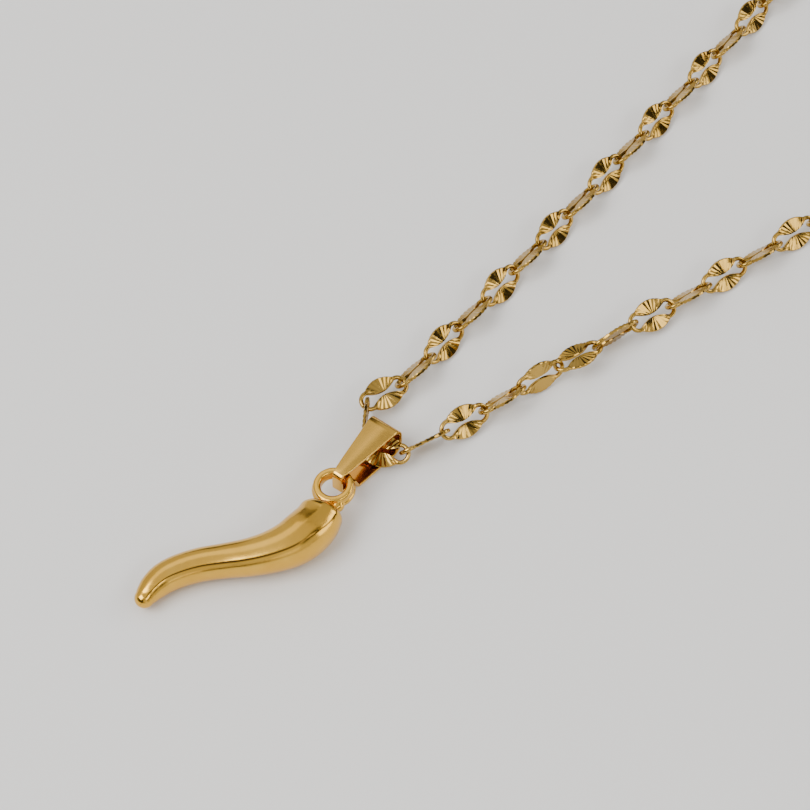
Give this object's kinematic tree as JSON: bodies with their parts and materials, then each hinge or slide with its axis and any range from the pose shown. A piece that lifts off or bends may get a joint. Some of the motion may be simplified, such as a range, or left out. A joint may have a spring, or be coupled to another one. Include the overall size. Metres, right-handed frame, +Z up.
{
  "type": "cornicello horn pendant necklace",
  "caption": "Gold-plated horn pendant with a cast loop and a folded strap bail, on a starburst link chain with a plain barrel clasp, lying flat.",
  "frame": {"origin": "middle of the lying necklace's box, on the surface that it lies on", "axes": "+Y along the necklace from the pendant to the clasp, +Z up from the surface, +X to the right"},
  "size_m": [0.062, 0.229, 0.0043],
  "materials": {
    "horn_gold": "gold plate, satin polished",
    "bail_gold": "gold plate, fine brushed",
    "chain_gold": "gold plate, bright cut",
    "clasp_gold": "gold plate, polished"
  },
  "bodies": {
    "root": {"horn": "horn_gold", "bail": "bail_gold", "chain_left": "chain_gold", "chain_right": "chain_gold", "clasp": "clasp_gold"}
  },
  "joints": []
}
